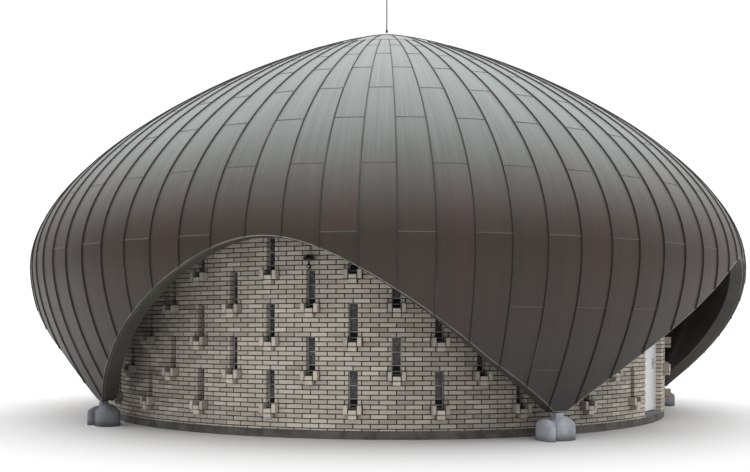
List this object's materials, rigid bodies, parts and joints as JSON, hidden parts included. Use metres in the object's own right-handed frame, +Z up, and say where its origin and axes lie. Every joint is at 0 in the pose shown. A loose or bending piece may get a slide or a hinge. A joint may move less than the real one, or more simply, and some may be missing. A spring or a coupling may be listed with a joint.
{
  "type": "domed round mosque",
  "caption": "Round brick building under a large sheet-metal dome that comes down to the ground on legs between arches, with slot windows, a hinged door and a thin spire.",
  "frame": {"origin": "at ground level, on the vertical line through the dome's apex, on the underside of the base slab", "axes": "+Z up; -Y out through the middle of the entrance bay; +X to the right of someone who faces the entrance"},
  "size_m": [13.1458, 13.1288, 8.72],
  "materials": {
    "sheet": "weathered brown sheet, satin",
    "bright_metal": "dull bright metal",
    "concrete": "cast, rough",
    "brick": "pale sand-lime brick, matte",
    "glass": "dark patterned glass",
    "plaster": "matte",
    "dark_base": "dark render, matte",
    "white_paint": "white paint, satin",
    "steel": "brushed",
    "black_enamel": "black, satin"
  },
  "bodies": {
    "building": {"shell_leg_1": "sheet", "shell_leg_2": "sheet", "shell_leg_3": "sheet", "shell_leg_4": "sheet", "shell_leg_5": "sheet", "shell_top_1": "sheet", "shell_top_2": "sheet", "shell_top_3": "sheet", "shell_top_4": "sheet", "shell_top_5": "sheet", "crown": "sheet", "spire": "bright_metal", "footing_1": "concrete", "footing_2": "concrete", "footing_3": "concrete", "footing_4": "concrete", "footing_5": "concrete", "wall_1_left": "brick", "wall_1_pier": "brick", "wall_1_right": "brick", "wall_1_head": "brick", "wall_2_left": "brick", "wall_2_middle_left": "brick", "wall_2_middle_right": "brick", "wall_2_right": "brick", "wall_3": "brick", "wall_4": "brick", "wall_5_left": "brick", "wall_5_middle": "brick", "wall_5_right": "brick", "glass_1_left": "glass", "glass_1_right": "glass", "glass_2": "glass", "glass_3": "glass", "glass_4": "glass", "glass_5": "glass", "ring_beam": "plaster", "base_slab": "dark_base", "floor": "concrete", "threshold": "concrete", "door_frame": "white_paint", "door_hinge_1": "steel", "door_hinge_2": "steel", "lamp": "black_enamel", "lamp_conduit": "bright_metal"},
    "door": {"door_leaf": "white_paint", "door_handle_out": "steel", "door_handle_in": "steel"}
  },
  "joints": [
    {"name": "door_hinge", "type": "hinge", "parent": "building", "child": "door", "pos_m": [-0.63588, -5.03619, 0], "axis": [0, 0, 1], "range_deg": [0, 90]}
  ]
}
